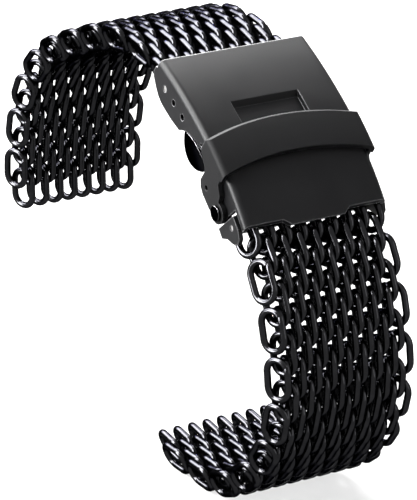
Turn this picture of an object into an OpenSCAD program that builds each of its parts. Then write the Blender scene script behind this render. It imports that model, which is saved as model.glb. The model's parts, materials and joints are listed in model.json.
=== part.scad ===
/* [Band] */
// overall width of the mesh band
band_w = 22; // [21:0.5:22.5]
// diameter of the wire
wire = 1; // [0.8:0.01:1.02]
// length of one loop along the band, outside the wire
loop_l = 6.6; // [6.5:0.05:6.7]
// distance from one row of loops to the next
row_pitch = 3.4; // [3.35:0.05:3.45]

/* [Clasp cover] */
// thickness of the sheet of the cover
sheet = 0.7; // [0.6:0.05:0.75]
// arc length from the seam to the end where the upper band enters
reach_a = 14.7; // [14.4:0.1:15]
// arc length from the seam to the end over the lower band
reach_b = 13.85; // [13.6:0.05:14.1]
// radius of the outer face on the upper side of the seam
arc_a = 75; // [70:1:80]
// radius of the outer face on the lower side of the seam
arc_b = 46; // [44:1:48]
// diameter of the adjustment holes
hole_d = 1; // [0.8:0.05:1.2]
// spacing of the adjustment holes
hole_step = 2.85; // [2.7:0.05:2.9]

/* [Safety bail] */
// width of the strap of the bail, along the clasp
strap_l = 6.1; // [5.5:0.1:6.2]
// thickness of the bail
bail_t = 0.75; // [0.6:0.05:0.9]
// how far the curved edges of the strap rise in the middle
strap_rise = 2; // [1.6:0.1:2.2]
// diameter of the rivets
rivet_d = 1.1; // [0.8:0.05:1.3]

/* [Leaves and buttons] */
// thickness of the folding leaves
leaf_t = 1; // [0.8:0.05:1.1]
// width of the inner leaf
inner_w = 14.8; // [13.5:0.1:15]
// width of the outer leaf
outer_w = 11; // [9:0.1:11.5]
// diameter of the hinge pins
pin_d = 1; // [0.8:0.05:1.1]
// radius of the round lower edge of a push button
button_r = 4.1; // [3.9:0.05:4.2]
// diameter of the spring bars
bar_d = 1.2; // [1:0.05:1.25]

/* [Stance] */
// height of the seam of the clasp over the ground
seam_z = 54.49; // [50:0.01:60]
// position of the seam along the depth of the piece
seam_y = -22.25; // [-30:0.05:-15]
// lean of the clasp at its seam
lean = 36.9; // [30:0.1:45]
// heading of the first row of the upper band
upper_a = 16.4; // [12:0.1:17]
// heading of the first row of the lower band
lower_a = -133; // [-134:0.1:-130]

/* [Hidden] */

// clearances
run = 0.06;     // between a pin and its bore, on the radius
side = 0.15;    // between pieces that pass each other sideways
air = 0.3;      // between faces that must never meet
skin = 0.1;     // between the legs of the bail and the walls behind them
fuse = 0.1;     // how far joined bodies reach into each other

// what each half of the band turns from row to row, as rows and degrees
upper_bends = [[2, 0], [2, -8.1], [3, -7.1], [2, 0], [2, -3], [3, -8.3], [3, -8.6], [3, -4.6]];
lower_bends = [[1, 1.2], [1, 11], [2, 7.2], [2, 4.8], [2, 11], [2, 11], [4, 7.7], [2, 11], [2, 0],
  [1, 8]];
upper_slack = 0.5;   // from the upper bar to the middle of its row
lower_slack = 1.35;  // the same at the lower bar
drop = 0.4;          // how far the end rows hang below their bars

// mesh
loops = 9;                              // in a wide row, narrow rows have one less
tilt = [0.352, 0.936];                  // cosine and sine of the slant of a bend
bow = round((band_w - wire)/(loops - 0.5)/(2*tilt[0])*20)/20;  // width of a bend at the wire centre
pitch = 2*tilt[0]*bow;                  // from one loop to the next in a row
face = tilt[1]*bow;                     // between the wire centres of both faces
run_l = round((loop_l - wire - bow)*50)/50;  // straight length of the wire in a face
closed = 150;                           // how far both ends of the wire turn back, in degrees

// cover
cover_w = band_w + 1.6;                 // over its side walls
half = cover_w/2;
in_w = half - sheet;                    // half the width between the upper side walls
strap_w = cover_w + 0.8;                // over the legs of the bail
leg_x = strap_w/2 - bail_t;             // inner face of a leg
half_b = leg_x - skin;                  // half the width of the lower part of the cover
in_b = half_b - sheet;
corner = 0.9;                           // radius of the long outer edges
step_s = -0.15;                         // where the wide part of the cover begins
side_d = 2.2;                           // sides of the upper sheet that the walls grow from
side_b = 1.1;                           // the same on the lower sheet
tab_l = 0.9;                            // tab over the end of the lower band
tab_w = 10.6;
hole_dep = 2.7;
hole_s = [reach_a - 3 - 2*hole_step, reach_a - 3 - hole_step, reach_a - 3];
notch = [0.5, 8.1];                     // centre of the round cut-out for the button
notch_r = 5.6;
vent = [0.2, 1.8];                      // small hole in front of the leg
vent_d = 0.5;
thumb_w = 10.8;                         // recess for the thumb
thumb_d = 0.8;
thumb_s = [-0.3, 4.5, 5.2];             // its start, the foot of its far wall and its end

// outlines of the side walls, as arc and depth
wall_a = [[step_s, 1.3], [7, 1.3], [14.3, 1.25], [15.1, 1.4], [15.3, 2.4], [15, 3.1], [14.6, 3.5],
  [13.8, 4.15], [12.7, 4.85], [11.8, 5.15], [10.8, 5.3], [8, 5.3], [5.9, 5], [4.3, 4.75],
  [step_s, 4.75]];
wall_b = concat([for (s = [0.1:-1:-10.9]) [s, 1]], [[-10.95, 1.05], [-10.9, 3.4], [-9.7, 6.05],
  [-6.5, 5.6], [-4, 5], [0.1, 4.75]]);

// bail
rivet = [-9.7, 4.6];
rivet_r = 1.45;                         // end of the wall round the rivet
leg_r = 1.55;                           // end of the leg round the rivet
strap_gap = 0.15;
strap_a = 1.45;                         // highest point of the strap, from the seam
strap_b = strap_a - strap_l;
strap_r = (strap_w*strap_w/4 + strap_rise*strap_rise)/(2*strap_rise);
strap_skirt = 0.6;                      // how far the sides of the strap reach down
strap_corner = 0.8;
strap_bevel = 0.5;                      // slope along the upper edge, with its ribs
rib = 0.55;
leg_line = [[-0.45, 0.3], [-0.55, 1.7], [-2.6, 2.7], [-3.3, 3.3], [-3.4, 5.2], [-4.2, 5.95],
  [-5.4, 6.27], [-7.9, 6.2], [-9, 6], [-9.7, 5.5], [-10.3, 4.2], [-9.3, 3.4], [-8.5, 3.2],
  [-8.1, 2.4], [-7.3, 2], [-6.6, 1.6], [-6.35, 0.3]];
dimple = [-5.3, 4.7];
dimple_d = 0.8;
head_d = 2.2;                           // heads of a rivet, outside and inside
head_t = 0.35;

// leaves, pins, bars and buttons
bar_a = [hole_s[2], hole_dep];          // bar of the upper band, as arc and depth
bar_b = [-12.9, 2.85];                  // bar of the lower band
bar_tip_b = 0.8;
pin_p = [-8.5, 3.2];
pin_q = [6.2, 4];
knuckle = pin_d/2 + 0.55;
finger = 3;                             // half width of the middle knuckles
lug = 2;                                // width of an outer knuckle
out_dep = pin_p[1] - leaf_t/2;          // depth of the outer leaf
in_dep = pin_q[1] + 0.3;                // depth of the inner leaf
seat_d = [5.5, 6.25];                   // cross strip that carries both ears
ear = [[-11.6, 1.5], [-13.7, 1.4], [-15.1, 1.9], [-15.6, 2.8], [-15.1, 3.8], [-13.9, 4.9],
  [-13.3, 6.25], [-11.6, 6.25]];
press = 0.8;                            // travel of a button
stem = [0.6, 4.4];                      // middle of a button
stem_d = 2;
cap_mid = [0.9, 2.1];                   // centre of the round lower edge of a button
cap_t = 1;                              // thickness of a button at its rim
dome = 0.3;                             // how far a button stands out in the middle
dome_r = 14;
guide_w = 1.4;

dark = "#26262a";
steel = "#3a3a3e";
bright = "#55555a";

$fn = 48;

// a point of the clasp at arc length s from the seam and depth d
function on(s, d) = s >= 0
  ? [(arc_a - d)*sin(s/arc_a*180/PI), (arc_a - d)*cos(s/arc_a*180/PI) - arc_a]
  : [(arc_b - d)*sin(s/arc_b*180/PI), (arc_b - d)*cos(s/arc_b*180/PI) - arc_b];
function turned(p, a) = [p[0]*cos(a) - p[1]*sin(a), p[0]*sin(a) + p[1]*cos(a)];
function placed(p) = [seam_y, seam_z] + turned(on(p[0], p[1]), lean);
function dir(a) = [cos(a), sin(a)];

// heading of row k, after the turns of a list of rows and degrees
function bent(b, k, i = 0) = i >= len(b) || k <= 0 ? 0
  : min(k, b[i][0])*b[i][1] + bent(b, k - b[i][0], i + 1);
function centre(start, a, b, k) = k == 0 ? start
  : centre(start, a, b, k - 1) + row_pitch/2*(dir(a + bent(b, k - 1)) + dir(a + bent(b, k)));

// half a ring of wire that leads from one face to the other
module bend(way) translate([pitch/4, way*run_l/2, 0]) rotate([0, acos(tilt[0]), 0])
  rotate([0, 0, way > 0 ? 0 : 180]) rotate_extrude(angle = 180) translate([bow/2, 0]) circle(d = wire);

// an end of the wire, turned back to close an outer loop
module turned_end(first) translate([pitch/4, -run_l/2, 0]) rotate([0, acos(tilt[0]), 0])
  rotate([0, 0, first ? 180 : 360 - closed])
    rotate_extrude(angle = closed) translate([bow/2, 0]) circle(d = wire);

module straight(x, z)
  translate([x, -run_l/2, z]) rotate([-90, 0, 0]) cylinder(d = wire, h = run_l);

// one row: a single wire wound flat, with n loops
module coil(n) translate([-(n - 0.5)*pitch/2, 0, 0]) union() {
  for (i = [0:n - 1]) translate([i*pitch, 0, 0]) {
    straight(0, face/2);
    straight(pitch/2, -face/2);
    bend(1);
    if (i < n - 1) translate([pitch/2, 0, 0]) mirror([0, 0, 1]) bend(-1);
    if (i == 0 || i == n - 1) turned_end(i == 0);
  }
}

module row(p, a, n) color(dark) translate([0, p[0], p[1]]) rotate([a, 0, 0]) coil(n);

// the upper band starts and ends with a narrow row, the lower one starts with a wide row
module upper(k) row(centre(placed(bar_a) + upper_slack*dir(upper_a) + drop*dir(upper_a - 90),
  upper_a, upper_bends, k), upper_a + bent(upper_bends, k), k % 2 == 0 ? loops - 1 : loops);
module lower(k) row(centre(placed(bar_b) + lower_slack*dir(lower_a) + drop*dir(lower_a + 90),
  lower_a, lower_bends, k), lower_a + bent(lower_bends, k), k % 2 == 0 ? loops : loops - 1);

module clasp() translate([0, seam_y, seam_z]) rotate([lean, 0, 0]) children();

// sweeps a section, drawn as minus depth and width, along the face of the clasp
module sweep(r, s0, s1) translate([0, 0, -r]) rotate([0, -90, 0]) rotate([0, 0, s0/r*180/PI])
  rotate_extrude(angle = (s1 - s0)/r*180/PI, $fn = 180) translate([r, 0]) children();
module along(s0, s1) {
  if (s1 > 0) sweep(arc_a, max(s0, 0), s1) children();
  if (s0 < 0) mirror([0, 1, 0]) sweep(arc_b, max(-s1, 0), -s0) children();
}
// a plate between two depths and two arc lengths, from x to x + w
module plate(s0, s1, d0, d1, x, w) along(s0, s1) translate([-d1, -x - w]) square([d1 - d0, w]);
module both() { children(); mirror([1, 0, 0]) children(); }
// a round piece across the clasp at a point given as arc and depth
module across(at, d, x, w) translate([x, on(at[0], at[1])[0], on(at[0], at[1])[1]])
  rotate([0, 90, 0]) cylinder(d = d, h = w);
// a side outline, given as arc and depth, from x to x + w
module flat(x, w, line) translate([x, 0, 0]) rotate([90, 0, 90]) linear_extrude(w)
  polygon([for (p = line) on(p[0], p[1])]);

// what the round long edges take off a section
module edges(w, top, r) for (m = [-1, 1]) translate([top - r, m*(w - r)]) difference() {
  translate([0, m > 0 ? 0 : -r - 1]) square([r + 1, r + 1]);
  circle(r);
}
// the bent sheet in section
module channel(w, depth) difference() {
  translate([-depth, -w]) square([depth, 2*w]);
  translate([-depth - 1, -w + sheet]) square([depth + 1 - sheet, 2*w - 2*sheet]);
  edges(w, 0, corner);
}

module cover() color(steel) clasp() difference() {
  union() {
    along(step_s, reach_a) channel(half, side_d);
    along(-reach_b - tab_l, 0) channel(half_b, side_b);
    both() flat(in_w, sheet, wall_a);
    both() flat(in_b, sheet, wall_b);
    both() across(rivet, 2*rivet_r, in_b, sheet);
    // boss under the recess for the thumb
    plate(0, thumb_s[2] + 0.5, sheet - fuse, thumb_d + 0.6, -thumb_w/2 - 0.6, thumb_w + 1.2);
    // lugs for the pin of the outer leaf
    both() plate(pin_p[0] - knuckle/2, pin_p[0] + knuckle/2, sheet - fuse, pin_p[1],
      finger + side + fuse, lug - 2*fuse);
    both() across(pin_p, 2*knuckle, finger + side, lug);
    // guides of the push buttons
    both() plate(stem[0] - 1.7, stem[0] + 1.7, sheet - fuse, stem[1] + 1.3, in_w - 2.6, guide_w);
  }
  // the lower sheet ends in a chamfered tab
  both() translate([0, 0, -9]) linear_extrude(12) polygon([[tab_w/2, on(-reach_b, 0)[0]],
    [tab_w/2 - 1, on(-reach_b - tab_l, 0)[0] + 0.05], [tab_w/2 - 1, -reach_b - 3],
    [half + 1, -reach_b - 3], [half + 1, on(-reach_b, 0)[0]]]);
  // cut-out for the button in both side walls, bore of its guide
  both() across(notch, 2*notch_r, in_b - 0.5, half - in_b + 1);
  both() across(stem, stem_d + 2*run, in_w - 3.6, 3);
  for (s = hole_s) both() across([s, hole_dep], hole_d, in_w - 0.5, sheet + 1);
  both() across(vent, vent_d, in_b - 0.5, half - in_b + 1);
  both() across(rivet, rivet_d + 2*run, in_b - 0.5, sheet + 1);
  both() across(pin_p, pin_d + 2*run, finger, lug + 1);
  // recess for the thumb before the strap of the bail
  flat(-thumb_w/2, thumb_w, [[thumb_s[0], -1], [thumb_s[0], thumb_d], [thumb_s[1], thumb_d],
    [thumb_s[2], 0], [thumb_s[2] + 0.5, -1]]);
}

// a leg of the bail with a dimple right through it
module leg() difference() {
  union() {
    flat(leg_x, bail_t, leg_line);
    across(rivet, 2*leg_r, leg_x, bail_t);
  }
  across(dimple, dimple_d, leg_x - 1, bail_t + 2);
}

module bail() color(steel) clasp() difference() {
  union() {
    intersection() {
      along(-9.5, 2.5) difference() {
        translate([-strap_skirt, -strap_w/2]) square([strap_skirt + strap_gap + bail_t, strap_w]);
        translate([-2, -leg_x]) square([strap_gap + 2, 2*leg_x]);
        edges(strap_w/2, strap_gap + bail_t, strap_corner);
      }
      // both long edges of the strap are arcs, the upper one slopes at the top
      difference() {
        translate([0, strap_a - strap_r, 0]) {
          translate([0, 0, -6]) cylinder(r = strap_r, h = 6 + strap_gap + bail_t - strap_bevel, $fn = 180);
          translate([0, 0, strap_gap + bail_t - strap_bevel])
            cylinder(r1 = strap_r, r2 = strap_r - 1, h = 1, $fn = 180);
        }
        translate([0, strap_b - strap_r, -7]) cylinder(r = strap_r, h = 12, $fn = 180);
      }
    }
    both() leg();
  }
  both() across(rivet, rivet_d + 2*run, leg_x - 1, bail_t + 2);
  // fine ribs under the thumb
  for (i = [-6:6]) translate([i*rib, strap_a - strap_r + sqrt(strap_r*strap_r - i*i*rib*rib) + 0.02, 0.2])
    cylinder(d = 0.3, h = 3, $fn = 24);
}

module rivet_one() {
  across(rivet, rivet_d, in_b - head_t, head_t + half_b + skin + bail_t + run - in_b);
  across(rivet, head_d, leg_x + bail_t + run/2, head_t);
  across(rivet, 1.7, in_b - head_t, head_t - run/2);
}
module bail_rivet_right() color(bright) clasp() rivet_one();
module bail_rivet_left() color(bright) clasp() mirror([1, 0, 0]) rivet_one();

// a domed cap in the cut-out, on a stem that slides in the guide
module button_one() {
  intersection() {
    across(cap_mid, 2*button_r, half - cap_t, cap_t + 1);
    across(notch, 2*notch_r - 2*side, half - cap_t - 1, cap_t + 3);
    translate([half + dome - dome_r, on(stem[0], stem[1])[0], on(stem[0], stem[1])[1]])
      sphere(dome_r, $fn = 96);
  }
  across(stem, stem_d, in_w - 2.5, 2.5);
}
module button_right() color(bright) clasp() button_one();
module button_left() color(bright) clasp() mirror([1, 0, 0]) button_one();

// leaf between the pin of the cover and the pin of the inner leaf
module outer_leaf() color(steel) clasp() difference() {
  union() {
    plate(pin_p[0] + knuckle + air, pin_q[0] - knuckle - air, out_dep, out_dep + leaf_t,
      -outer_w/2, outer_w);
    plate(pin_p[0], pin_q[0], out_dep, out_dep + leaf_t, -finger, 2*finger);
    across(pin_p, 2*knuckle, -finger, 2*finger);
    across(pin_q, 2*knuckle, -finger, 2*finger);
  }
  across(pin_p, pin_d + 2*run, -finger - 1, 2*finger + 2);
  across(pin_q, pin_d + 2*run, -finger - 1, 2*finger + 2);
}

// inner leaf, with the cross strip and the two ears that hold the lower band
module inner_leaf() color(steel) clasp() difference() {
  union() {
    plate(-10.8, pin_q[0] - knuckle - air, in_dep, in_dep + leaf_t, -inner_w/2, inner_w);
    both() plate(0, pin_q[0], in_dep, in_dep + leaf_t, finger + side, inner_w/2 - finger - side);
    both() across(pin_q, 2*knuckle, finger + side, inner_w/2 - finger - side);
    plate(-11.6, -9.8, seat_d[0] - 0.45, seat_d[1] - fuse, -inner_w/2 + 0.2, inner_w - 0.4);
    plate(-13.2, -11.3, seat_d[0], seat_d[1] - 0.05, -in_w - fuse, 2*in_w + 2*fuse);
    both() flat(in_w, sheet, ear);
  }
  across(pin_q, pin_d + 2*run, -inner_w/2 - 1, inner_w + 2);
  both() across(bar_b, bar_tip_b, in_w - 0.5, sheet + 1);
}

module cover_pin() color(bright) clasp()
  across(pin_p, pin_d, -finger - side - lug, 2*(finger + side + lug));
module leaf_pin() color(bright) clasp() across(pin_q, pin_d, -inner_w/2 + 0.2, inner_w - 0.4);

// a spring bar: barrel, shoulders and two thin tips
module spring_bar(at, tip) {
  across(at, bar_d, -in_w + 1.2, 2*in_w - 2.4);
  across(at, bar_d - 0.3, -in_w + side, 2*in_w - 2*side);
  across(at, tip, -in_w - sheet + fuse, 2*in_w + 2*sheet - 2*fuse);
}
module upper_bar() color(bright) clasp() spring_bar(bar_a, hole_d - 2*run);
module lower_bar() color(bright) clasp() spring_bar(bar_b, bar_tip_b - 2*run);

module upper_row_00() upper(0);
module upper_row_01() upper(1);
module upper_row_02() upper(2);
module upper_row_03() upper(3);
module upper_row_04() upper(4);
module upper_row_05() upper(5);
module upper_row_06() upper(6);
module upper_row_07() upper(7);
module upper_row_08() upper(8);
module upper_row_09() upper(9);
module upper_row_10() upper(10);
module upper_row_11() upper(11);
module upper_row_12() upper(12);
module upper_row_13() upper(13);
module upper_row_14() upper(14);
module upper_row_15() upper(15);
module upper_row_16() upper(16);
module upper_row_17() upper(17);
module upper_row_18() upper(18);
module upper_row_19() upper(19);
module upper_row_20() upper(20);
module lower_row_00() lower(0);
module lower_row_01() lower(1);
module lower_row_02() lower(2);
module lower_row_03() lower(3);
module lower_row_04() lower(4);
module lower_row_05() lower(5);
module lower_row_06() lower(6);
module lower_row_07() lower(7);
module lower_row_08() lower(8);
module lower_row_09() lower(9);
module lower_row_10() lower(10);
module lower_row_11() lower(11);
module lower_row_12() lower(12);
module lower_row_13() lower(13);
module lower_row_14() lower(14);
module lower_row_15() lower(15);
module lower_row_16() lower(16);
module lower_row_17() lower(17);
module lower_row_18() lower(18);
module lower_row_19() lower(19);

cover();
bail();
bail_rivet_left();
bail_rivet_right();
button_left();
button_right();
outer_leaf();
inner_leaf();
cover_pin();
leaf_pin();
upper_bar();
lower_bar();
upper_row_00();
upper_row_01();
upper_row_02();
upper_row_03();
upper_row_04();
upper_row_05();
upper_row_06();
upper_row_07();
upper_row_08();
upper_row_09();
upper_row_10();
upper_row_11();
upper_row_12();
upper_row_13();
upper_row_14();
upper_row_15();
upper_row_16();
upper_row_17();
upper_row_18();
upper_row_19();
upper_row_20();
lower_row_00();
lower_row_01();
lower_row_02();
lower_row_03();
lower_row_04();
lower_row_05();
lower_row_06();
lower_row_07();
lower_row_08();
lower_row_09();
lower_row_10();
lower_row_11();
lower_row_12();
lower_row_13();
lower_row_14();
lower_row_15();
lower_row_16();
lower_row_17();
lower_row_18();
lower_row_19();
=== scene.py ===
# %% [markdown]
# # A wire mesh watch band with a folding clasp
#
# The band is made of flattened wire coils that hang in each other, row after row,
# and the clasp is bent from sheet steel. All of it is coated black: the wire is glossy,
# the clasp is satin, and its buttons and rivets are polished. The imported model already
# holds every piece at its real size and place, so this lesson is about the finishes,
# the camera and the light.

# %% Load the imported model
import json
import math

import bpy
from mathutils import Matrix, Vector


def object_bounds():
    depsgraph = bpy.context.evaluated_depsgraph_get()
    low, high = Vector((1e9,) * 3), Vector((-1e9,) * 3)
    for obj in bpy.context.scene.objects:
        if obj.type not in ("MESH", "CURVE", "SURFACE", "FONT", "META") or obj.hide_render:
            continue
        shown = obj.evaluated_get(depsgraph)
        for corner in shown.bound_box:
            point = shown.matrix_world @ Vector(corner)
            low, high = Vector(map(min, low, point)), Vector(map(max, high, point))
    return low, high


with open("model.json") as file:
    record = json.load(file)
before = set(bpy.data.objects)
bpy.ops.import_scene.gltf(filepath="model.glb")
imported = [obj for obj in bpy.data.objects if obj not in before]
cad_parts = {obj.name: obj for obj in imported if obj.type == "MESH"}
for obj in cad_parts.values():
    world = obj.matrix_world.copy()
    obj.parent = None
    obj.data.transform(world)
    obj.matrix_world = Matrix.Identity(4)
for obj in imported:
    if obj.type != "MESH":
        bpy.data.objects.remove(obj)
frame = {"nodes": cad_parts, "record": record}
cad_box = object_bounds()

nodes = frame["nodes"]
MM = 0.001


def in_mm(box):
    return [round(value / MM, 1) for corner in box for value in corner]


print(len(nodes), "pieces, box", in_mm(cad_box))

# %% [markdown]
# The view transform Standard keeps colours as they are written. The picture is 417 by 500
# pixels, and the camera below is worked out in them.

# %% Scene settings
scene = bpy.context.scene
scene.view_settings.view_transform = "Standard"
IMAGE_HEIGHT_PX = 500
print("view transform", scene.view_settings.view_transform)

# %% [markdown]
# The camera is a long lens, above the band and to its left. Its place was found by lining
# up the loops of the band with the photograph, so it is written as a point, a direction and
# a focal length in pixels. The long side of the picture is its height, and the sensor width
# belongs to the long side.

# %% Camera
FOCAL_PX = 3284.0
SENSOR_MM = 36.0
CAMERA_AT = Vector((-225.21, -384.84, 197.23)) * MM
AZIMUTH, ELEVATION = math.radians(-30.53), math.radians(20.69)
NEAREST, FARTHEST = 0.01, 10.0


def towards_camera(azimuth, elevation):
    """The direction from the band to the camera; azimuth 0 looks along +Y."""
    level = math.cos(elevation)
    return Vector(
        (math.sin(azimuth) * level, -math.cos(azimuth) * level, math.sin(elevation))
    )


cam_data = bpy.data.cameras.new("camera")
cam_data.sensor_fit = "AUTO"
cam_data.sensor_width = SENSOR_MM
cam_data.lens = FOCAL_PX / IMAGE_HEIGHT_PX * SENSOR_MM
cam_data.clip_start, cam_data.clip_end = NEAREST, FARTHEST
camera = bpy.data.objects.new("camera", cam_data)
scene.collection.objects.link(camera)
camera.rotation_mode = "QUATERNION"
camera.rotation_quaternion = (-towards_camera(AZIMUTH, ELEVATION)).to_track_quat("-Z", "Y")
camera.location = CAMERA_AT
scene.camera = camera
print("lens", round(cam_data.lens, 1), "mm, at", [round(v, 4) for v in camera.location])

# %% [markdown]
# Shader nodes are easier to read as sums. This small class wraps a socket, so that an
# expression such as `1 - mask * 0.3` adds its Math nodes by itself. Colours go through Mix,
# because a Math node would turn a colour grey.


# %% A socket that can be calculated with
class Sock:
    """A number that changes over a surface, with the arithmetic that the finishes use."""

    def __init__(self, finish, socket):
        self.finish, self.socket = finish, socket

    def math(self, kind, *values):
        return self.finish.add("ShaderNodeMath", {"operation": kind}, dict(enumerate(values)))

    def __add__(self, other):
        return self.math("ADD", self, other)

    def __sub__(self, other):
        return self.math("SUBTRACT", self, other)

    def __rsub__(self, other):
        return self.math("SUBTRACT", other, self)

    def __mul__(self, other):
        return self.math("MULTIPLY", self, other)

    def most(self, other):
        return self.math("MAXIMUM", self, other)

    __radd__ = __add__
    __rmul__ = __mul__


print("sums of sockets ready")

# %% [markdown]
# A finish is one material. Its `add` makes any node: the settings are set first, then the
# values or links of the sockets. What is the same all over a surface is set on the shader's
# own sockets, and what changes is fed to them.
#
# A Mix node has a pair of inputs and an output for each kind of value, all with the same
# names, so those for colours are picked by number.


# %% A finish and its nodes
MIX_FACTOR, MIX_LOW, MIX_HIGH, MIX_COLOUR = 0, 6, 7, 2
BUMP_HEIGHT = 0.02 * MM


class Finish:
    """One node tree, with the shader that its maps feed."""

    def __init__(self, name, **constants):
        self.material = bpy.data.materials.new(name)
        self.material.use_nodes = True
        self.tree = self.material.node_tree
        self.shader = self.tree.nodes["Principled BSDF"]
        for socket, value in constants.items():
            self.shader.inputs[socket.replace("_", " ")].default_value = value

    def add(self, kind, settings=None, inputs=None, out=0):
        node = self.tree.nodes.new(kind)
        for name, value in (settings or {}).items():
            setattr(node, name, value)
        for key, value in (inputs or {}).items():
            if isinstance(value, Sock):
                self.tree.links.new(value.socket, node.inputs[key])
            else:
                node.inputs[key].default_value = value
        return Sock(self, node.outputs[out])

    def feed(self, **maps):
        for socket, value in maps.items():
            self.tree.links.new(value.socket, self.shader.inputs[socket.replace("_", " ")])

    def noise(self, size, detail=2.0):
        """Soft clouds of about this size in millimetres, from 0 to 1."""
        place = self.add("ShaderNodeTexCoord", out="Object")
        where = {"Vector": place, "Scale": 1 / (size * MM), "Detail": detail}
        return self.add("ShaderNodeTexNoise", {}, where)

    def between(self, factor, low, high):
        """A colour that goes from low to high."""
        ends = {MIX_FACTOR: factor, MIX_LOW: low, MIX_HIGH: high}
        return self.add("ShaderNodeMix", {"data_type": "RGBA"}, ends, MIX_COLOUR)

    def bump(self, height, strength, **normal):
        """The normal of a surface that is faintly rough, on top of a given Normal if any."""
        inputs = {"Height": height, "Strength": strength, "Distance": BUMP_HEIGHT, **normal}
        return self.add("ShaderNodeBump", {}, inputs)

    def bevel_with_highlight_mask(self, radius):
        """The normal rounded near edges, and a mask that rises towards them; the finishes paint
        a highlight with it.
        """
        rounded = self.add("ShaderNodeBevel", {"samples": 8}, {"Radius": radius * MM})
        true = self.add("ShaderNodeNewGeometry", out="Normal")
        pair = {0: rounded, 1: true}
        same = self.add("ShaderNodeVectorMath", {"operation": "DOT_PRODUCT"}, pair, "Value")
        return rounded, (1 - same) * 3.0

    def ray(self, kind):
        """1 for the rays of one kind, such as Camera, and 0 for all others."""
        return self.add("ShaderNodeLightPath", out="Is " + kind + " Ray")

    def mirrored(self):
        """1 for rays that come off, or through, a shiny surface."""
        return self.ray("Glossy").most(self.ray("Transmission"))


def rgb(r, g, b):
    return (r, g, b, 1.0)


print("finish helpers ready")

# %% [markdown]
# The wire is steel under a hard black coat, and the coat is metal too: it mirrors the lamps
# as thin white lines and stays black between them. Seen close, its gloss changes in small
# clouds and there are fine pits, so two noises drive the roughness and a very small bump.
# A dark specular tint keeps the rims of each wire from turning pale.

# %% Black wire
wire_finish = Finish("black_wire", Metallic=1.0, Specular_Tint=rgb(0.25, 0.25, 0.26))
clouds = wire_finish.noise(1.4, 3.0)
pits = wire_finish.noise(0.12, 2.0)
wire_finish.feed(
    Base_Color=wire_finish.between(clouds, rgb(0.012, 0.012, 0.013), rgb(0.026, 0.026, 0.028)),
    Roughness=clouds * 0.06 + 0.14,
    Normal=wire_finish.bump(pits, 0.15),
)
print(wire_finish.material.name, len(wire_finish.tree.nodes), "nodes")

# %% [markdown]
# The clasp is satin: the sheet is blasted before it gets a black lacquer, so its sheen is
# broad and soft, and stronger where it is seen at a slant. A Bevel node rounds the normals
# along the edges. Where it turns them away from the true surface, the coat is made a little
# smoother, and its colour is lightened there as a painted highlight along the edges.
#
# A low index of refraction keeps the face of the clasp dark in a white studio.

# %% Satin black steel
satin_finish = Finish("satin_black_steel", IOR=1.18)
clouds = satin_finish.noise(5.0, 3.0)
grain = satin_finish.noise(0.10, 2.0)
rounded, edge_highlight = satin_finish.bevel_with_highlight_mask(0.18)
coat = satin_finish.between(clouds, rgb(0.0008, 0.0008, 0.001), rgb(0.002, 0.002, 0.0022))
satin_finish.feed(
    # The colour is lighter along the edges: a painted highlight.
    Base_Color=satin_finish.between(edge_highlight, coat, rgb(0.06, 0.06, 0.062)),
    Roughness=clouds * 0.16 + 0.30 - edge_highlight * 0.1,
    Normal=satin_finish.bump(grain, 0.12, Normal=rounded),
)
print(satin_finish.material.name, len(satin_finish.tree.nodes), "nodes")

# %% [markdown]
# The strap of the bail and its legs are blasted more coarsely and stay dull.

# %% Dull black steel
dull_finish = Finish("dull_black_steel", IOR=1.13)
clouds = dull_finish.noise(3.0, 3.0)
grain = dull_finish.noise(0.15, 3.0)
rounded, edge_highlight = dull_finish.bevel_with_highlight_mask(0.15)
coat = dull_finish.between(clouds, rgb(0.001, 0.001, 0.0011), rgb(0.002, 0.002, 0.0022))
dull_finish.feed(
    # The colour is a little lighter along the edges: a faint painted highlight.
    Base_Color=dull_finish.between(edge_highlight, coat, rgb(0.015, 0.015, 0.016)),
    Roughness=clouds * 0.08 + 0.50 - edge_highlight * 0.1,
    Normal=dull_finish.bump(grain, 0.3, Normal=rounded),
)
print(dull_finish.material.name, len(dull_finish.tree.nodes), "nodes")

# %% [markdown]
# The rivets and the push buttons are polished before they are coated.

# %% Polished black steel
polished_finish = Finish("polished_black_steel", Metallic=1.0, Specular_Tint=rgb(0.3, 0.3, 0.31))
clouds = polished_finish.noise(2.0, 2.0)
rounded, edge_highlight = polished_finish.bevel_with_highlight_mask(0.12)
coat = polished_finish.between(clouds, rgb(0.010, 0.010, 0.011), rgb(0.016, 0.016, 0.017))
polished_finish.feed(
    # The colour is lighter along the rims: a painted highlight.
    Base_Color=polished_finish.between(edge_highlight, coat, rgb(0.12, 0.12, 0.122)),
    Roughness=clouds * 0.08 + 0.08,
    Normal=rounded,
)
print(polished_finish.material.name, len(polished_finish.tree.nodes), "nodes")

# %% [markdown]
# The pins and the spring bars have no coat: they are plain turned steel.

# %% Bare steel
bare_finish = Finish("bare_steel", Metallic=1.0)
clouds = bare_finish.noise(1.5, 2.0)
bare_finish.feed(
    Base_Color=bare_finish.between(clouds, rgb(0.45, 0.44, 0.43), rgb(0.58, 0.57, 0.56)),
    Roughness=clouds * 0.1 + 0.22,
)
print(bare_finish.material.name, len(bare_finish.tree.nodes), "nodes")

# %% [markdown]
# Every piece of the model gets the finish of its material slot, which the record names.
# Only the bail differs: its slot is satin, and its own finish is the dull one.

# %% Finishes on the pieces
FINISHES = {
    "black_wire": wire_finish,
    "satin_black_steel": satin_finish,
    "polished_black_steel": polished_finish,
    "bare_steel": bare_finish,
}
OWN_FINISH = {"bail": dull_finish}
slot_of = {part["node"]: part["material_slot"] for part in frame["record"]["subparts"]}
for name, piece in nodes.items():
    finish = OWN_FINISH.get(name, FINISHES[slot_of[name]])
    for holder in piece.material_slots:
        holder.material = finish.material
print("finishes on", len(nodes), "pieces")

# %% [markdown]
# The floor is a large white sheet. Black metal shows what stands round it, so in its
# reflections the floor is the same white as the studio. The camera sees a dim surface, lit
# by the lamps, with a glow that lifts it to white, and the shadow under the band stays on it.

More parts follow.
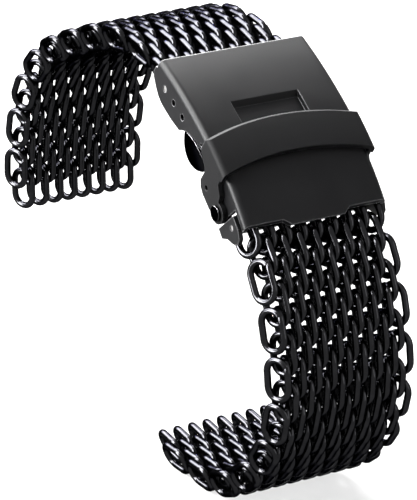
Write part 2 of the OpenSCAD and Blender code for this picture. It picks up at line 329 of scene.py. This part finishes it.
# %% Floor
FLOOR_HALF = 3.0
FLOOR_GLOW = 0.72
floor_mesh = bpy.data.meshes.new("floor")
floor_mesh.from_pydata(
    [(x * FLOOR_HALF, y * FLOOR_HALF, 0) for x, y in ((-1, -1), (1, -1), (1, 1), (-1, 1))],
    [],
    [(0, 1, 2, 3)],
)
floor = bpy.data.objects.new("floor", floor_mesh)
scene.collection.objects.link(floor)
floor_finish = Finish("floor", Roughness=0.9, Specular_IOR_Level=0.0, Emission_Strength=1.0)
to_camera = floor_finish.ray("Camera")
glow = floor_finish.between(to_camera, rgb(0, 0, 0), rgb(FLOOR_GLOW, FLOOR_GLOW, FLOOR_GLOW))
tone = floor_finish.between(to_camera, rgb(0.9, 0.9, 0.9), rgb(0.08, 0.08, 0.08))
floor_finish.feed(Emission_Color=glow, Base_Color=tone)
print("floor", 2 * FLOOR_HALF, "m wide")

# %% [markdown]
# For mirrored rays a plain white light takes the place of that surface.

# %% The floor in reflections
white = floor_finish.add("ShaderNodeEmission", {}, {"Color": rgb(1, 1, 1), "Strength": 1.0})
lit = Sock(floor_finish, floor_finish.shader.outputs[0])
both = floor_finish.add(
    "ShaderNodeMixShader", {}, {0: floor_finish.mirrored(), 1: lit, 2: white}
)
output = floor_finish.tree.nodes["Material Output"]
floor_finish.tree.links.new(both.socket, output.inputs["Surface"])
floor_mesh.materials.append(floor_finish.material)
print(floor_finish.material.name, len(floor_finish.tree.nodes), "nodes")

# %% [markdown]
# The world is the even light of a white studio. Rays from the camera, and mirrored rays,
# see plain white; the light that it gives is weaker, because the lamps add theirs.

# %% World
STUDIO_LIGHT = 0.4
world = bpy.data.worlds.new("studio")
scene.world = world
world.use_nodes = True


class WorldTree(Finish):
    """The world's nodes, made in the same way as a finish."""

    def __init__(self, of):
        self.tree = of.node_tree
        self.shader = self.tree.nodes["Background"]


studio = WorldTree(world)
seen = studio.ray("Camera").most(studio.mirrored())
studio.feed(Strength=seen * (1 - STUDIO_LIGHT) + STUDIO_LIGHT)
studio.shader.inputs["Color"].default_value = rgb(1, 1, 1)
print("world with", len(studio.tree.nodes), "nodes")

# %% [markdown]
# Five soft lamps do the rest, and the camera doesn't see them. A coated black surface sends
# back a hundredth of the light that meets it, so a lamp has to be many times whiter than
# white to draw a white line.
#
# - The left box draws the thin line along the left side of each wire.
# - The back box lies along the top of the upper band and on the upper half of the clasp.
# - The corner box catches the upper edges and the rounded left edge of the clasp.
# - The sheen box is the soft light on the face of the clasp.
# - The front box is a faint broad light on the right of each wire.


# %% Lamps
def softbox(name, at, width, height, brightness):
    """A flat lamp that faces the band; brightness is what a mirror would show, 1 is white."""
    data = bpy.data.lights.new(name, "AREA")
    data.shape, data.size, data.size_y = "RECTANGLE", width, height
    data.energy = brightness * math.pi * width * height
    lamp = bpy.data.objects.new(name, data)
    lamp.visible_camera = False
    lamp.rotation_mode = "QUATERNION"
    lamp.location = at
    lamp.rotation_quaternion = (middle - Vector(at)).to_track_quat("-Z", "Y")
    scene.collection.objects.link(lamp)


middle = (cad_box[0] + cad_box[1]) / 2
softbox("left_box", (-0.54, 0.13, 0.22), 0.24, 0.44, 75.0)
softbox("front_box", (0.20, -0.60, 0.33), 0.30, 0.60, 3.0)
softbox("back_box", (-0.05, 0.50, 0.44), 0.95, 0.62, 55.0)
softbox("corner_box", (-0.28, 0.06, 0.50), 0.20, 0.24, 60.0)
softbox("sheen_box", (0.29, 0.23, 0.57), 0.22, 0.22, 10.0)
